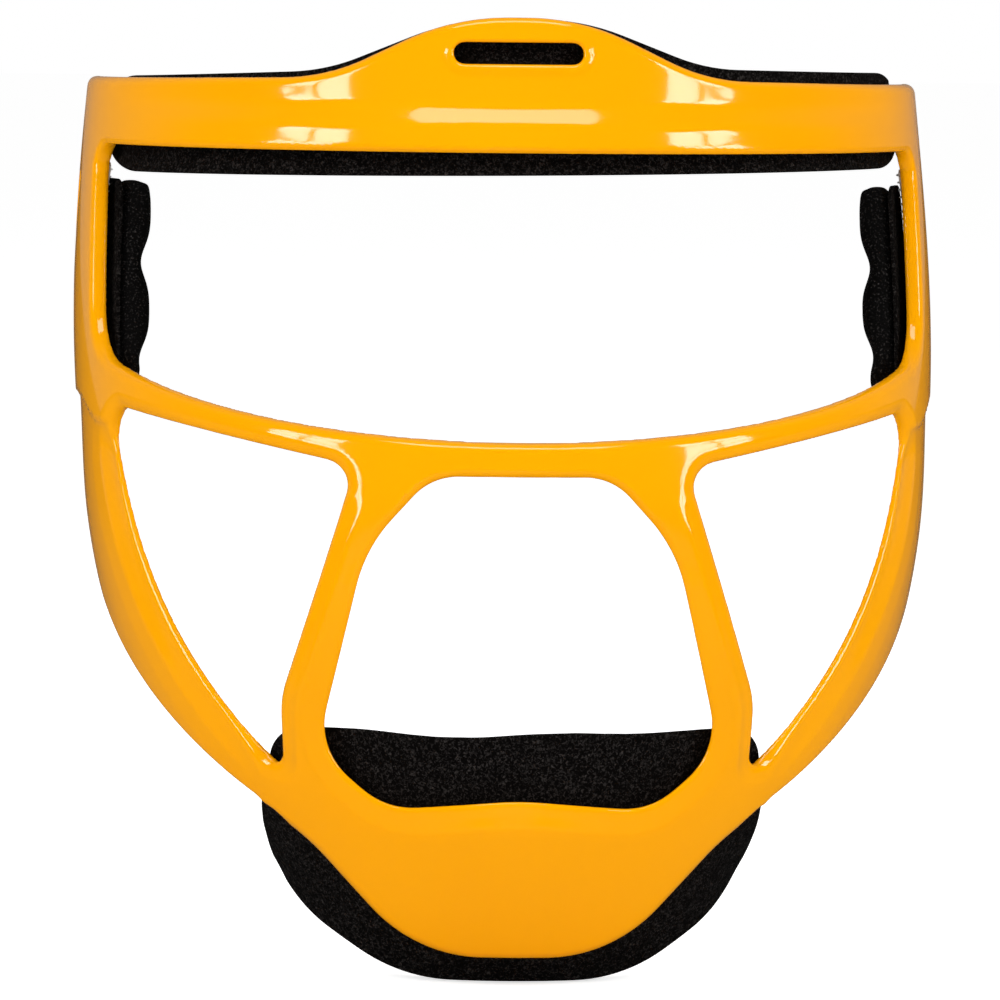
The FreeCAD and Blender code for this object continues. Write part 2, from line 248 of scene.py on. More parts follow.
def evenLoop(points):
    closed = np.vstack([points, points[:1]])
    along = np.concatenate([[0], np.cumsum(np.linalg.norm(np.diff(closed, axis=0), axis=1))])
    count = int(along[-1] / rimSizes["spacing"])
    places = np.arange(count) * along[-1] / count
    even = np.stack([np.interp(places, along, closed[:, k]) for k in range(3)], 1)
    passes = rimSizes["smallSmoothing"] if along[-1] < rimSizes["smallLoop"] else rimSizes["smoothing"]
    for _ in range(passes):
        for sign in (0.5, -0.52):  # smooth without shrinking the corners
            even = even + sign * ((np.roll(even, 2, 0) + np.roll(even, -2, 0)) / 2 - even)
    return even, along[-1]


def readRims():
    points = meshArrays(frameSource)
    frameSource.calc_loop_triangles()
    corners = np.array([t.vertices[:] for t in frameSource.loop_triangles])
    depth = onMould(points)[1]
    match, wall = rimSizes["faceMatch"], mouldFit["wall"]
    level = np.where(np.abs(depth) < match, 0, np.where(np.abs(depth - wall) < match, 1, 2))
    rims = []
    for face in (0, 1):
        flat = (level[corners] == face).all(1)
        count = {}
        for a, b, c in corners[flat]:
            for edge in ((a, b), (b, c), (c, a)):
                key = (min(edge), max(edge))
                count.setdefault(key, []).append((a, b, c))
        border = {key: faces[0] for key, faces in count.items() if len(faces) == 1}
        for loop in chainLoops(list(border)):
            even, length = evenLoop(points[loop])
            tangent = np.roll(even, -2, 0) - np.roll(even, 2, 0)
            tangent /= np.linalg.norm(tangent, axis=1)[:, None]
            inward = np.cross(onMould(even)[2], tangent)
            inward /= np.linalg.norm(inward, axis=1)[:, None]
            votes = 0.0
            for a, b in zip(loop[::5], loop[1::5]):
                key = (min(a, b), max(a, b))
                if key in border:
                    third = points[list(border[key])].mean(0) - (points[a] + points[b]) / 2
                    near = np.argmin(((even - points[a]) ** 2).sum(1))
                    votes += np.sign((inward[near] * third).sum())
            inward = inward * np.sign(votes)
            rims.append({"face": face, "points": even, "inward": inward, "length": length})
    return rims


def rimKind(rim):
    x = rim["points"].mean(0)[0]
    if rim["length"] < rimSizes["smallLoop"]:
        return "slot"
    if abs(x) > rimSizes["offCentre"]:
        return "cheek"
    if rim["length"] < rimSizes["mouthLoop"]:
        return "mouth"
    return "eye" if rim["length"] < rimSizes["eyeLoop"] else "outline"


class RimFinder:  # the nearest rim sample, and how far a point lies inside that rim
    def __init__(self, rims):
        self.points = np.vstack([rim["points"] for rim in rims])
        self.inward = np.vstack([rim["inward"] for rim in rims])
        self.kinds = np.concatenate([[rimKind(rim)] * len(rim["points"]) for rim in rims])
        self.tree = KDTree(len(self.points))
        for index, point in enumerate(self.points):
            self.tree.insert(point, index)
        self.tree.balance()

    def find(self, points):
        nearest = [self.tree.find(point)[1:] for point in points]
        index = np.array([n[0] for n in nearest])
        away = np.array([n[1] for n in nearest])
        inside = ((points - self.points[index]) * self.inward[index]).sum(1)
        return inside, away, index


rims = readRims()
outerRims = RimFinder([rim for rim in rims if rim["face"] == 0])
innerRims = RimFinder([rim for rim in rims if rim["face"] == 1])
facetRims = {kind: RimFinder([rim for rim in rims if rim["face"] == 0 and rimKind(rim) == kind])
             for kind in ("mouth", "cheek", "eye", "slot")}
print(f"{len(rims)} rims found")


# The moulded frame: the CAD wall with rounded rims, facets along its bars, a lip on the brow
# and a small step where the eye bar runs over each jaw bar.

guardShape = {
    "voxel": 0.8, "quickVoxel": 1.3, "rounds": 5, "relaxing": 0.6, "lastRelaxing": 0.25,
    "outerRound": 1.9, "innerRound": 1.0, "eyeRound": 1.1, "slotRound": 0.7,
    "mouthFacet": (5.6, 2.3), "mouthFacetTop": 0.35, "noseBridgeTop": -46.0, "noseBridgeEnd": -62.0,
    "jawFacet": (5.8, 2.5), "jawShoulder": (10.5, 0.55),
    "barFacet": (3.4, 1.6), "eyeBarUnder": (2.6, 0.8),
    "jawStartX": 50.0, "jawEndX": 60.0, "jawFade": (-44.0, -36.0),
    "barShiftX": 4.0, "barFade": (-52.0, -46.0),
    "lipProud": 0.9, "browHollow": 0.9, "lipTop": 24.5, "hollowStart": 30.5, "browFadeX": (66.0, 86.0),
    "browStart": (17.0, 20.0), "slotAbove": 20.0, "slotLipStart": 1.0,
    "stepDepth": 0.9, "stepLevel": -32.4, "stepDip": 4.6, "stepFade": 26.0,
    "stepSoftness": (-0.35, 0.35), "stepStartX": (74.0, 82.0), "stepDipY": (20.0, 40.0),
    "slotLip": 0.45, "slotLipWidth": 2.6, "rimReach": 6.0, "farInside": 9.0, "sideReach": 1.5,
    "outerRoom": 0.6, "innerRoom": 0.36,
}


def cheekTopLevel(points):  # the underside of the eye bar, as it would run on round the side
    return guardShape["stepLevel"] - guardShape["stepDip"] * ease(-points[:, 1], *guardShape["stepDipY"])


def sculptDepth(points):  # how far the outer face is pushed in from the mould at each point
    g = guardShape
    x, y, z = np.abs(points[:, 0]), points[:, 1], points[:, 2]
    _, mouthAway, _ = facetRims["mouth"].find(points)
    _, cheekAway, _ = facetRims["cheek"].find(points)
    _, slotAway, _ = facetRims["slot"].find(points)
    bridge = ease(z, g["noseBridgeEnd"], g["noseBridgeTop"])
    depth = ramp(mouthAway, *g["mouthFacet"]) * (1 - bridge * (1 - g["mouthFacetTop"]))
    onJaw = ease(x, g["jawStartX"], g["jawEndX"]) * (1 - ease(z, *g["jawFade"]))
    depth += onJaw * np.maximum(ramp(cheekAway, *g["jawFacet"]), ramp(cheekAway, *g["jawShoulder"]))
    shift, underEyeBar = g["barShiftX"], ease(z, *g["barFade"])
    onBar = (1 - ease(x, g["jawStartX"] - shift, g["jawEndX"] - shift)) * (1 - underEyeBar)
    depth = np.maximum(depth, onBar * ramp(cheekAway, *g["barFacet"]))
    depth = np.maximum(depth, underEyeBar * (1 - onJaw) * ramp(cheekAway, *g["eyeBarUnder"]))
    below = ease(cheekTopLevel(points) - z, *g["stepSoftness"]) * ease(x, *g["stepStartX"])
    fade = 1 - ease(cheekTopLevel(points) - z, 0.0, g["stepFade"])
    depth += g["stepDepth"] * below * fade
    middle = 1 - ease(x, *g["browFadeX"])
    onBrow = ease(z, *g["browStart"])
    hollow = ease(z, g["lipTop"], g["hollowStart"])
    depth += middle * onBrow * (g["browHollow"] * hollow - g["lipProud"] * (1 - hollow))
    besideSlot = 1 - ease(slotAway, g["slotLipStart"], g["slotLipWidth"])
    depth -= g["slotLip"] * besideSlot * (z > g["slotAbove"])
    return depth


def rimRounds(points, index):
    g = guardShape
    kinds = outerRims.kinds[index]
    outer = np.full(len(points), g["outerRound"])
    outer[kinds == "eye"] = g["eyeRound"]
    outer[kinds == "slot"] = g["slotRound"]
    inner = np.full(len(points), g["innerRound"])
    inner[kinds == "slot"] = g["slotRound"]
    return outer, inner


def seatOnGuard(points, onOuter):  # move points onto the frame's finished surface
    wall = mouldFit["wall"]
    away, depth, _ = onMould(points)
    share = np.clip(depth / wall, 0.0, 1.0)[:, None]
    outerInside, outerAway, outerIndex = outerRims.find(points + away * depth[:, None])
    innerInside, innerAway, innerIndex = innerRims.find(points + away * (depth - wall)[:, None])
    inside = (1 - share[:, 0]) * outerInside + share[:, 0] * innerInside
    inward = (1 - share) * outerRims.inward[outerIndex] + share * innerRims.inward[innerIndex]
    nearRim = np.minimum(outerAway, innerAway) < guardShape["rimReach"]
    inside = np.where(nearRim, inside, guardShape["farInside"])
    top = sculptDepth(points)
    outerRound, innerRound = rimRounds(points, outerIndex)
    room = wall - top
    outerRound = np.minimum(outerRound, guardShape["outerRoom"] * room)
    innerRound = np.minimum(innerRound, guardShape["innerRoom"] * room)
    newDepth = np.where(onOuter, top, wall)
    newInside = inside.copy()
    side = (depth > top + outerRound) & (depth < wall - innerRound) & (inside < guardShape["sideReach"])
    newDepth = np.where(side, depth, newDepth)
    newInside = np.where(side, 0.0, newInside)
    for radius, level, chosen in ((outerRound, top + outerRound, depth <= top + outerRound),
                                  (innerRound, wall - innerRound, depth >= wall - innerRound)):
        corner = chosen & (inside < radius)
        across, deep = inside - radius, depth - level
        length = np.maximum(np.hypot(across, deep), 1e-6)
        newInside = np.where(corner, radius + across / length * radius, newInside)
        newDepth = np.where(corner, level + deep / length * radius, newDepth)
    moved = points + inward * np.where(nearRim, newInside - inside, 0.0)[:, None]
    return moved - away * (newDepth - depth)[:, None]


def makeGuard(material):
    g = guardShape
    guard = voxelised(frameSource, "face_guard_shell", g["voxel"])
    mesh = guard.data
    points, pairs = meshArrays(mesh), edgePairs(mesh)
    onOuter = onMould(points)[1] < mouldFit["wall"] / 2
    for _ in range(g["rounds"]):
        points = seatOnGuard(relax(points, pairs, g["relaxing"]), onOuter)
    points = seatOnGuard(points, onOuter)
    setPoints(mesh, relax(points, pairs, g["lastRelaxing"]))
    smoothShading(mesh)
    mesh.materials.clear()
    mesh.materials.append(material)
    print(f"guard moulded, {len(mesh.polygons)} faces")
    return guard


# Materials

def newMaterial(name):
    material = bpy.data.materials.new(name)
    material.use_nodes = True
    tree = material.node_tree
    return material, tree.nodes, tree.links, tree.nodes["Principled BSDF"]


plasticLook = {"colour": (1.0, 0.41, 0.0, 1), "deep": (0.97, 0.375, 0.0, 1), "cloudScale": 18.0,
               "roughness": 0.07, "specular": 0.5}


def glossPlastic():
    material, nodes, links, shader = newMaterial("glossPlastic")
    place = nodes.new("ShaderNodeTexCoord")
    cloud = nodes.new("ShaderNodeTexNoise")
    cloud.inputs["Scale"].default_value = plasticLook["cloudScale"]
    tint = nodes.new("ShaderNodeMix")
    tint.data_type = "RGBA"
    tint.inputs[6].default_value = plasticLook["colour"]
    tint.inputs[7].default_value = plasticLook["deep"]
    links.new(place.outputs["Object"], cloud.inputs["Vector"])
    links.new(cloud.outputs["Fac"], tint.inputs[0])
    links.new(tint.outputs[2], shader.inputs["Base Color"])
    shader.inputs["Roughness"].default_value = plasticLook["roughness"]
    shader.inputs["Specular IOR Level"].default_value = plasticLook["specular"]
    return material


fabricLook = {"colour": (0.0028, 0.0026, 0.0025, 1), "fleck": (0.10, 0.091, 0.087, 1), "ribPitch": 0.95}


def padFabric():  # brushed rib knit, near black, with paler flecks of lint
    material, nodes, links, shader = newMaterial("padFabric")
    place = nodes.new("ShaderNodeTexCoord")
    ribs = nodes.new("ShaderNodeTexWave")
    ribs.wave_type = "BANDS"
    ribs.bands_direction = "Z"
    ribs.inputs["Scale"].default_value = 0.314 / (fabricLook["ribPitch"] * mm)
    ribs.inputs["Distortion"].default_value = 2.5
    ribs.inputs["Detail"].default_value = 2.0
    ribs.inputs["Detail Scale"].default_value = 2.0
    fibre = nodes.new("ShaderNodeTexNoise")
    fibre.inputs["Scale"].default_value = 2300.0
    fibre.inputs["Detail"].default_value = 3.0
    patch = nodes.new("ShaderNodeTexNoise")
    patch.inputs["Scale"].default_value = 120.0
    for texture in (ribs, fibre, patch):
        links.new(place.outputs["Object"], texture.inputs["Vector"])
    flecks = nodes.new("ShaderNodeMapRange")
    flecks.inputs["From Min"].default_value = 0.56
    flecks.inputs["From Max"].default_value = 0.78
    links.new(fibre.outputs["Fac"], flecks.inputs["Value"])
    wear = nodes.new("ShaderNodeMath")
    wear.operation = "MULTIPLY"
    links.new(flecks.outputs["Result"], wear.inputs[0])
    links.new(patch.outputs["Fac"], wear.inputs[1])
    tint = nodes.new("ShaderNodeMix")
    tint.data_type = "RGBA"
    tint.inputs[6].default_value = fabricLook["colour"]
    tint.inputs[7].default_value = fabricLook["fleck"]
    links.new(wear.outputs[0], tint.inputs[0])
    links.new(tint.outputs[2], shader.inputs["Base Color"])
    height = nodes.new("ShaderNodeMath")
    height.operation = "MULTIPLY_ADD"
    height.inputs[1].default_value = 0.5
    links.new(ribs.outputs["Fac"], height.inputs[0])
    links.new(fibre.outputs["Fac"], height.inputs[2])
    bump = nodes.new("ShaderNodeBump")
    bump.inputs["Strength"].default_value = 0.8
    bump.inputs["Distance"].default_value = 0.3 * mm
    links.new(height.outputs[0], bump.inputs["Height"])
    links.new(bump.outputs["Normal"], shader.inputs["Normal"])
    shader.inputs["Roughness"].default_value = 0.92
    shader.inputs["Specular IOR Level"].default_value = 0.04
    return material


def loopCloth():  # brushed loop side of the fastening
    material, nodes, links, shader = newMaterial("loopCloth")
    place = nodes.new("ShaderNodeTexCoord")
    loops = nodes.new("ShaderNodeTexNoise")
    loops.inputs["Scale"].default_value = 1700.0
    loops.inputs["Detail"].default_value = 4.0
    loops.inputs["Distortion"].default_value = 1.2
    links.new(place.outputs["Object"], loops.inputs["Vector"])
    shade = nodes.new("ShaderNodeValToRGB")
    shade.color_ramp.elements[0].color = (0.0022, 0.0018, 0.0016, 1)
    shade.color_ramp.elements[0].position = 0.5
    shade.color_ramp.elements[1].color = (0.045, 0.040, 0.038, 1)
    shade.color_ramp.elements[1].position = 0.78
    links.new(loops.outputs["Fac"], shade.inputs["Fac"])
    links.new(shade.outputs["Color"], shader.inputs["Base Color"])
    bump = nodes.new("ShaderNodeBump")
    bump.inputs["Strength"].default_value = 1.0
    bump.inputs["Distance"].default_value = 0.35 * mm
    links.new(loops.outputs["Fac"], bump.inputs["Height"])
    links.new(bump.outputs["Normal"], shader.inputs["Normal"])
    shader.inputs["Roughness"].default_value = 0.9
    shader.inputs["Specular IOR Level"].default_value = 0.03
    return material


def hookNylon():  # pale woven tape and its hooks
    material, nodes, links, shader = newMaterial("hookNylon")
    place = nodes.new("ShaderNodeTexCoord")
    weave = nodes.new("ShaderNodeTexNoise")
    weave.inputs["Scale"].default_value = 900.0
    links.new(place.outputs["Object"], weave.inputs["Vector"])
    shade = nodes.new("ShaderNodeValToRGB")
    shade.color_ramp.elements[0].color = (0.42, 0.41, 0.38, 1)
    shade.color_ramp.elements[1].color = (0.72, 0.71, 0.67, 1)
    links.new(weave.outputs["Fac"], shade.inputs["Fac"])
    links.new(shade.outputs["Color"], shader.inputs["Base Color"])
    bump = nodes.new("ShaderNodeBump")
    bump.inputs["Strength"].default_value = 0.4
    bump.inputs["Distance"].default_value = 0.1 * mm
    links.new(weave.outputs["Fac"], bump.inputs["Height"])
    links.new(bump.outputs["Normal"], shader.inputs["Normal"])
    shader.inputs["Roughness"].default_value = 0.45
    return material


# Pads: a foam cushion with a fabric face, on a sheet of loop cloth that grips the hook tape.

padShape = {
    "voxel": 1.5, "pressure": 4.0, "frames": 18, "cap": 1.0, "softening": 7, "rounding": 8,
    "foamFace": 5.7, "foamBack": 12.2, "skinBack": 13.0,
    "seamDepth": 6.9, "seamWidth": 0.55, "seamCut": 0.45, "clothEdge": 0.2,
    "faceGap": 0.2, "backGap": 0.5, "relaxing": 0.5, "channelStart": 1.0, "wave": (8.5, 23.0, 0.6),
}
padDetails = {  # channels as (share of the height, depth, half width)
    "forehead_pad": {"channels": [], "wave": 0.0, "skew": 1.1},
    "chin_pad": {"channels": [], "wave": 0.7, "skew": 0.0},
    "temple_pad_left": {"channels": [(0.61, 2.0, 4.4), (0.16, 2.0, 4.2)], "wave": 0.0, "skew": 0.0},
    "temple_pad_right": {"channels": [(0.61, 2.0, 4.4), (0.20, 2.0, 4.2)], "wave": 0.0, "skew": 0.0},
}


def remapDepth(points, start, end, newStart, newEnd):
    away, depth, _ = onMould(points)
    share = (depth - start) / (end - start)
    return points - away * (newStart + share * (newEnd - newStart) - depth)[:, None]


def edgeDrift(detail, points, rise, high):  # small uneven run of a pad's hand-cut upper edge
    x, (short, long, start) = points[:, 0], padShape["wave"]
    wave = detail["wave"] * rise * np.sin(x / short) * np.cos(x / long + start)
    return wave + detail["skew"] * x / high[0]


def keepWithin(points, shallow, deep):
    away, depth, _ = onMould(points)
    return points - away * (np.clip(depth, shallow, deep) - depth)[:, None]


def inflate(thing):  # a short cloth simulation that puffs the cushion, held to a small movement
    p = padShape
    start = meshArrays(thing.data)
    cloth = thing.modifiers.new("puff", "CLOTH")
    cloth.settings.use_pressure = True
    cloth.settings.uniform_pressure_force = p["pressure"]
    cloth.settings.effector_weights.gravity = 0
    cloth.point_cache.frame_start, cloth.point_cache.frame_end = 1, p["frames"]
    for number in range(1, p["frames"] + 1):
        bpy.context.scene.frame_set(number)
    mesh = baked(thing)
    move = meshArrays(mesh) - start
    far = np.linalg.norm(move, axis=1)
    print(f"{thing.name} puffed, largest move {far.max():.2f} mm, mean {far.mean():.2f} mm")
    setPoints(mesh, start + move * (np.minimum(far, p["cap"]) / np.maximum(far, 1e-9))[:, None])
    bpy.context.scene.frame_set(1)


def subdivided(thing):
    modifier = thing.modifiers.new("finer", "SUBSURF")
    modifier.levels = modifier.render_levels = 1
    return baked(thing)


def makePad(name, fabric, cloth):
    p, d = padShape, padDetails[name]
    low, high = (np.array(corner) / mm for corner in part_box(name + "_foam"))
    cushion = voxelised(weldedCopy([name + "_foam"], name), name + "_cushion", p["voxel"])
    mesh = cushion.data
    pairs = edgePairs(mesh)
    points = meshArrays(mesh)
    for _ in range(p["softening"]):
        points = relax(points, pairs, p["relaxing"])
    faces = (p["foamFace"], p["foamBack"], p["foamFace"] + p["faceGap"], p["skinBack"] - p["backGap"])
    setPoints(mesh, remapDepth(points, *faces))
    inflate(cushion)
    mesh = subdivided(cushion)
    points, pairs = meshArrays(mesh), edgePairs(mesh)
    for _ in range(p["rounding"]):
        points = relax(points, pairs, p["relaxing"])
    away, depth, _ = onMould(points)
    inner = ease(depth, p["foamFace"] + p["channelStart"], p["foamBack"])
    for share, cut, half in d["channels"]:
        offset = (points[:, 2] - low[2] - share * (high[2] - low[2])) / half
        points = points + away * (cut * inner * np.exp(-offset ** 2))[:, None]
    seam = np.exp(-((depth - p["seamDepth"]) / p["seamWidth"]) ** 2)
    middle = (low + high) / 2
    toMiddle = middle - points
    toMiddle -= away * (toMiddle * away).sum(1)[:, None]
    toMiddle /= np.maximum(np.linalg.norm(toMiddle, axis=1), 1e-6)[:, None]
    points = points + toMiddle * (p["seamCut"] * seam)[:, None]
    rise = ease(points[:, 2], middle[2], high[2])
    points[:, 2] += edgeDrift(d, points, rise, high)
    points = keepWithin(points, p["foamFace"], p["skinBack"])
    setPoints(mesh, points)
    smoothShading(mesh)
    mesh.materials.clear()
    mesh.materials.append(fabric)
    cushion.data = mesh
    sheet = addObject(name + "_loop_cloth", weldedCopy([name + "_loop_backing"], name + "_loop_cloth"))
    flat = meshArrays(sheet.data)
    flat[:, 2] += edgeDrift(d, flat, ease(flat[:, 2], middle[2], high[2]), high)
    setPoints(sheet.data, flat)
    soften = sheet.modifiers.new("soften", "BEVEL")
    soften.width = p["clothEdge"] * mm
    soften.segments = 2
    soften.limit_method = "ANGLE"
    baked(sheet)
    smoothShading(sheet.data)
    sheet.data.set_sharp_from_angle(angle=math.radians(50))
    sheet.data.materials.clear()
    sheet.data.materials.append(cloth)
    for piece, nodes, slot, fill in ((cushion, (name + "_foam", name + "_cover"), "pad_fabric", 0.7),
                                     (sheet, (name + "_loop_backing",), "loop_fabric", 0.2)):
        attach(piece, name)
        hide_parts(*nodes)
    print(f"{name} made, {len(cushion.data.polygons)} faces")


# Hook tape: thin strips stuck inside the frame, each carrying rows of small hooks.

tapeShape = {"face": 3.4, "back": 4.6, "strip": 0.45, "pitch": 1.45, "margin": 1.3,
             "hookTall": 0.62, "hookReach": 0.42, "hookWire": 0.09, "seed": 7}


def hookTree(material):
    tree = bpy.data.node_groups.new("tapeHooks", "GeometryNodeTree")
    face = tree.interface
    face.new_socket(name="Geometry", in_out="INPUT", socket_type="NodeSocketGeometry")
    for name in ("Hook height", "Hook reach", "Hook wire"):
        face.new_socket(name=name, in_out="INPUT", socket_type="NodeSocketFloat")
    face.new_socket(name="Seed", in_out="INPUT", socket_type="NodeSocketInt")
    face.new_socket(name="Geometry", in_out="OUTPUT", socket_type="NodeSocketGeometry")
    nodes, links = tree.nodes, tree.links
    given, result = nodes.new("NodeGroupInput"), nodes.new("NodeGroupOutput")
    bend = nodes.new("GeometryNodeCurveQuadraticBezier")
    bend.inputs["Resolution"].default_value = 5
    bend.inputs["Start"].default_value = (0, 0, 0)
    crest, tip = nodes.new("ShaderNodeCombineXYZ"), nodes.new("ShaderNodeCombineXYZ")
    half, lift = nodes.new("ShaderNodeMath"), nodes.new("ShaderNodeMath")
    half.operation = lift.operation = "MULTIPLY"
    half.inputs[1].default_value, lift.inputs[1].default_value = 0.55, 1.7
    links.new(given.outputs["Hook height"], half.inputs[0])
    links.new(given.outputs["Hook height"], lift.inputs[0])
    links.new(lift.outputs[0], crest.inputs["Z"])
    links.new(half.outputs[0], tip.inputs["Z"])
    links.new(given.outputs["Hook reach"], tip.inputs["X"])
    links.new(crest.outputs[0], bend.inputs["Middle"])
    links.new(tip.outputs[0], bend.inputs["End"])
    wire = nodes.new("GeometryNodeCurvePrimitiveCircle")
    wire.inputs["Resolution"].default_value = 4
    links.new(given.outputs["Hook wire"], wire.inputs["Radius"])
    tube = nodes.new("GeometryNodeCurveToMesh")
    tube.inputs["Fill Caps"].default_value = True
    links.new(bend.outputs["Curve"], tube.inputs["Curve"])
    links.new(wire.outputs["Curve"], tube.inputs["Profile Curve"])
    stand = nodes.new("FunctionNodeAlignRotationToVector")
    stand.axis = "Z"
    normal = nodes.new("GeometryNodeInputNormal")
    links.new(normal.outputs[0], stand.inputs["Vector"])
    spin = nodes.new("FunctionNodeRandomValue")
    spin.inputs[2].default_value, spin.inputs[3].default_value = -0.5, 0.5
    links.new(given.outputs["Seed"], spin.inputs["Seed"])
    turn, axis = nodes.new("FunctionNodeRotateRotation"), nodes.new("FunctionNodeAxisAngleToRotation")
    turn.rotation_space = "LOCAL"
    axis.inputs["Axis"].default_value = (0, 0, 1)
    links.new(spin.outputs[1], axis.inputs["Angle"])
    links.new(stand.outputs[0], turn.inputs["Rotation"])
    links.new(axis.outputs[0], turn.inputs["Rotate By"])
    place = nodes.new("GeometryNodeInstanceOnPoints")
    links.new(given.outputs["Geometry"], place.inputs["Points"])
    links.new(tube.outputs["Mesh"], place.inputs["Instance"])
    links.new(turn.outputs[0], place.inputs["Rotation"])
    realise, paint = nodes.new("GeometryNodeRealizeInstances"), nodes.new("GeometryNodeSetMaterial")
    paint.inputs["Material"].default_value = material
    links.new(place.outputs["Instances"], realise.inputs["Geometry"])
    links.new(realise.outputs["Geometry"], paint.inputs["Geometry"])
    links.new(paint.outputs["Geometry"], result.inputs["Geometry"])
    return tree


def hookBed(node):  # a grid over the strip's bare face, one hook at each corner
    t = tapeShape
    low, high = (np.array(corner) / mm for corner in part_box(node))
    sideways = abs(low[0] + high[0]) > 150  # strips on the temples run along Y
    across = 1 if sideways else 0
    lengths = [high[across] - low[across] - 2 * t["margin"], high[2] - low[2] - 2 * t["margin"]]
    counts = [int(length / t["pitch"]) + 1 for length in lengths]
    rows = np.linspace(low[across] + t["margin"], high[across] - t["margin"], counts[0])
    levels = np.linspace(low[2] + t["margin"], high[2] - t["margin"], counts[1])
    u, z = (grid.ravel() for grid in np.meshgrid(rows, levels, indexing="ij"))
    radius, centre = mould["radius"](z) - t["face"] - t["strip"], mould["centre"](z)
    if sideways:
        x, y = math.copysign(1, low[0]) * np.sqrt(radius ** 2 - (u - centre) ** 2), u
    else:
        x, y = u, centre - np.sqrt(radius ** 2 - u ** 2)
    points = np.stack([x, y, z], 1)
    faces = []
    for i in range(counts[0] - 1):
        for j in range(counts[1] - 1):
            a = i * counts[1] + j
            faces.append((a, a + counts[1], a + counts[1] + 1, a + 1))
    first = points[list(faces[0])]
    away = onMould(points[:1])[0][0]
    if np.dot(np.cross(first[1] - first[0], first[2] - first[0]), away) > 0:
        faces = [face[::-1] for face in faces]
    mesh = bpy.data.meshes.new(node + "_bed")
    mesh.from_pydata([tuple(p) for p in points * mm], [], faces)
    return mesh


def makeTape(node, tree, material):
    t = tapeShape
    mesh = weldedCopy([node], node + "_strip")
    points = remapDepth(meshArrays(mesh), t["face"], t["back"], t["face"], t["face"] + t["strip"])
    setPoints(mesh, points)
    strip = addObject(node + "_strip", mesh, material)
    soften = strip.modifiers.new("soften", "BEVEL")
    soften.width = 0.12 * mm
    soften.segments = 2
    soften.limit_method = "ANGLE"
    baked(strip)
    hooks = addObject(node + "_hooks", hookBed(node))
    grow = hooks.modifiers.new("hooks", "NODES")
    grow.node_group = tree
    sizes = {"Hook height": t["hookTall"] * mm, "Hook reach": t["hookReach"] * mm,
             "Hook wire": t["hookWire"] * mm, "Seed": t["seed"]}
    for item in tree.interface.items_tree:
        if item.in_out == "INPUT" and item.name in sizes:
            grow[item.identifier] = sizes[item.name]
    baked(hooks)
    bm = bmesh.new()
    bm.from_mesh(strip.data)
    bm.from_mesh(hooks.data)
    bm.to_mesh(strip.data)
    bm.free()
    bpy.data.objects.remove(hooks)
    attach(strip, "guard")
    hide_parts(node)


# The stage

stageSizes = {"distance": 1500.0, "spread": 0.2135, "azimuth": -2.5, "elevation": 4.0, "roll": 0.6,
              "target": (0.0, 0.0, -55.5)}


def makeCamera():
    camera = bpy.data.cameras.new("camera")
    azimuth, elevation = math.radians(stageSizes["azimuth"]), math.radians(stageSizes["elevation"])
    back = Vector((math.sin(azimuth) * math.cos(elevation), -math.cos(azimuth) * math.cos(elevation),
                   math.sin(elevation)))
    thing = bpy.data.objects.new("camera", camera)
    bpy.context.scene.collection.objects.link(thing)
    thing.location = (Vector(stageSizes["target"]) + back * stageSizes["distance"]) * mm
    turn = back.to_track_quat("Z", "Y").to_matrix().to_4x4()
    thing.rotation_euler = (turn @ Matrix.Rotation(math.radians(stageSizes["roll"]), 4, "Z")).to_euler()
    camera.sensor_width = 36.0
    camera.lens = 36.0 * stageSizes["distance"] / (1000 * stageSizes["spread"])
    camera.clip_end = 20.0
    bpy.context.scene.camera = thing


def areaLight(name, place, target, width, height, power):
    light = bpy.data.lights.new(name, "AREA")
    light.shape = "RECTANGLE"
    light.size, light.size_y = width, height
    light.energy = power
    thing = bpy.data.objects.new(name, light)
    bpy.context.scene.collection.objects.link(thing)
    thing.location = place
    thing.rotation_euler = (Vector(place) - Vector(target)).to_track_quat("Z", "Y").to_euler()
    return thing


studio = {"floorColour": (0.9, 0.9, 0.9, 1), "floorDim": (0.13, 0.13, 0.13, 1), "floorGlow": 0.72,
          "floorHalf": 60.0, "backdrop": 1.0, "soft": 0.3, "front": 0.015, "rear": 0.22,
          "boxDistance": 0.78, "boxHeight": 0.72, "boxAside": 1.3, "pane": 0.24, "paneGap": 0.035,
          "paneRadiance": 11.0, "topPower": 4.5, "topPlace": (0, -0.25, 1.2), "topSize": (0.7, 0.4),
          "fillPower": 5.0, "fillPlace": (0, -1.4, -0.1), "fillSize": (0.5, 0.5),
          "focus": (0, -0.05, -0.04), "floorDrop": 0.0005}


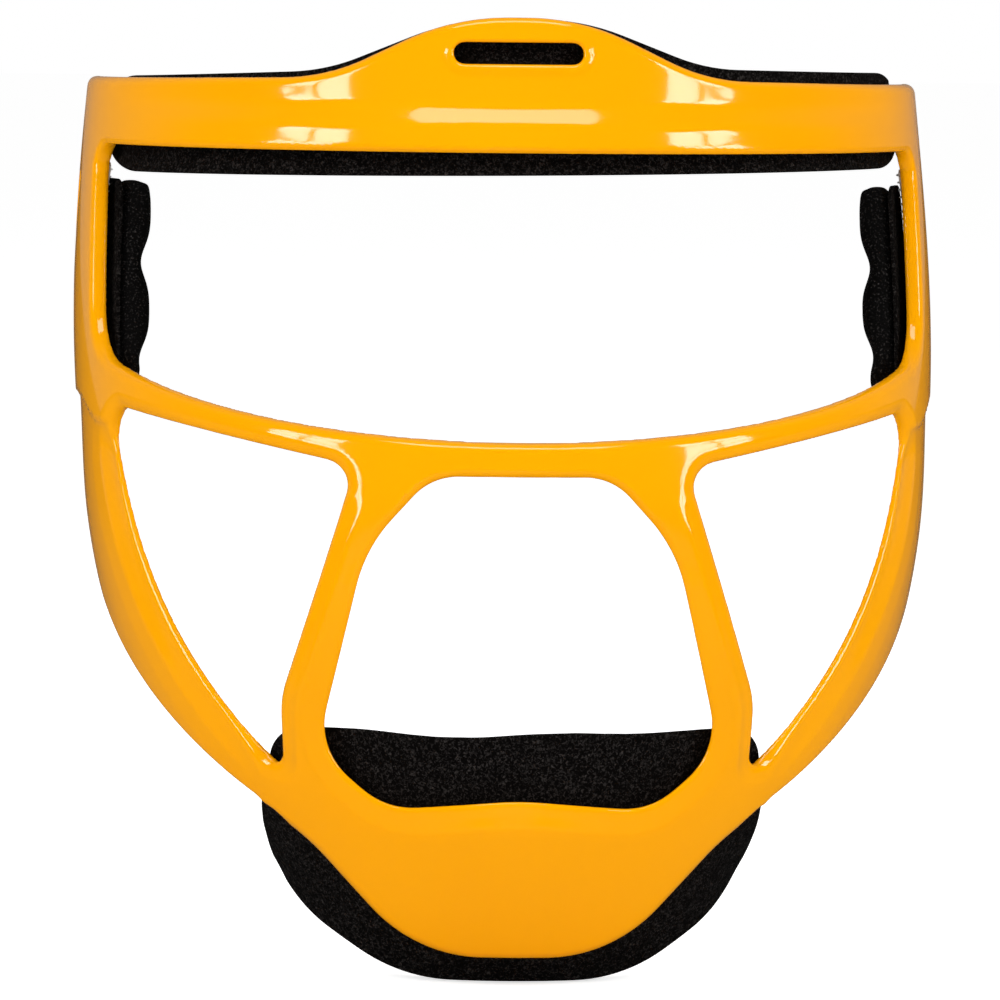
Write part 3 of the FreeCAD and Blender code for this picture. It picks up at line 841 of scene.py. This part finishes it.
def makeWorld():  # pale all round for the eye, with a darker side in front for the gloss to show
    world = bpy.data.worlds.new("studio")
    world.use_nodes = True
    nodes, links = world.node_tree.nodes, world.node_tree.links
    ground = nodes["Background"]
    path, place = nodes.new("ShaderNodeLightPath"), nodes.new("ShaderNodeTexCoord")
    split = nodes.new("ShaderNodeSeparateXYZ")
    links.new(place.outputs["Generated"], split.inputs[0])
    turn = nodes.new("ShaderNodeMapRange")
    turn.interpolation_type = "SMOOTHSTEP"
    turn.inputs["From Min"].default_value, turn.inputs["From Max"].default_value = -0.1, 0.9
    turn.inputs["To Min"].default_value = studio["front"]
    turn.inputs["To Max"].default_value = studio["rear"]
    links.new(split.outputs["Y"], turn.inputs["Value"])
    matt, pick = nodes.new("ShaderNodeMix"), nodes.new("ShaderNodeMix")
    matt.inputs[2].default_value = studio["soft"]
    links.new(path.outputs["Is Glossy Ray"], matt.inputs[0])
    links.new(turn.outputs["Result"], matt.inputs[3])
    pick.inputs[3].default_value = studio["backdrop"]
    links.new(path.outputs["Is Camera Ray"], pick.inputs[0])
    links.new(matt.outputs[0], pick.inputs[2])
    links.new(pick.outputs[0], ground.inputs["Strength"])
    ground.inputs["Color"].default_value = (1, 1, 1, 1)
    bpy.context.scene.world = world


def makeStage():
    makeWorld()
    middle = Vector(studio["focus"])
    pane, step = studio["pane"], studio["pane"] + studio["paneGap"]
    power = studio["paneRadiance"] * pane * pane * math.pi
    for side, label in ((-1, "left"), (1, "right")):  # each softbox is a window of six panes
        centre = Vector((side * studio["boxAside"], -studio["boxDistance"], studio["boxHeight"]))
        back = (centre - middle).normalized()
        across = back.cross(Vector((0, 0, 1))).normalized()
        up = across.cross(back)
        for column in (-0.5, 0.5):
            for row in (-1, 0, 1):
                spot = centre + across * (column * step) + up * (row * step)
                areaLight(f"window_{label}_{column}_{row}", spot, middle, pane, pane, power)
    fill = areaLight("front_fill", studio["fillPlace"], middle, *studio["fillSize"], studio["fillPower"])
    fill.visible_glossy = False
    areaLight("top_box", studio["topPlace"], middle, *studio["topSize"], studio["topPower"])
    bpy.context.scene.view_settings.view_transform = "Standard"
    half = studio["floorHalf"]
    level = cadLow.z - studio["floorDrop"]
    mesh = bpy.data.meshes.new("floor")
    corners = [(-half, -half, level), (half, -half, level), (half, half, level), (-half, half, level)]
    mesh.from_pydata(corners, [], [(0, 1, 2, 3)])
    material, nodes, links, shader = newMaterial("paleFloor")
    path, tint = nodes.new("ShaderNodeLightPath"), nodes.new("ShaderNodeMix")
    glow = nodes.new("ShaderNodeMath")
    tint.data_type = "RGBA"
    tint.inputs[6].default_value = studio["floorColour"]
    tint.inputs[7].default_value = studio["floorDim"]
    glow.operation = "MULTIPLY"
    glow.inputs[1].default_value = studio["floorGlow"]
    links.new(path.outputs["Is Glossy Ray"], tint.inputs[0])
    links.new(path.outputs["Is Camera Ray"], glow.inputs[0])
    links.new(tint.outputs[2], shader.inputs["Base Color"])
    links.new(glow.outputs[0], shader.inputs["Emission Strength"])
    shader.inputs["Roughness"].default_value = 0.9
    shader.inputs["Specular IOR Level"].default_value = 0.0
    shader.inputs["Emission Color"].default_value = (1, 1, 1, 1)
    addObject("floor", mesh, material)


makeCamera()
makeStage()
plastic = glossPlastic()
guard = makeGuard(plastic)
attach(guard, "guard")
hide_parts("face_frame")
fabric, cloth, nylon = padFabric(), loopCloth(), hookNylon()
for padName in padDetails:
    makePad(padName, fabric, cloth)
hooks = hookTree(nylon)
for nodeName in sorted(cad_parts):
    if "hook_tape" in nodeName:
        makeTape(nodeName, hooks, nylon)
print("hook tape made")
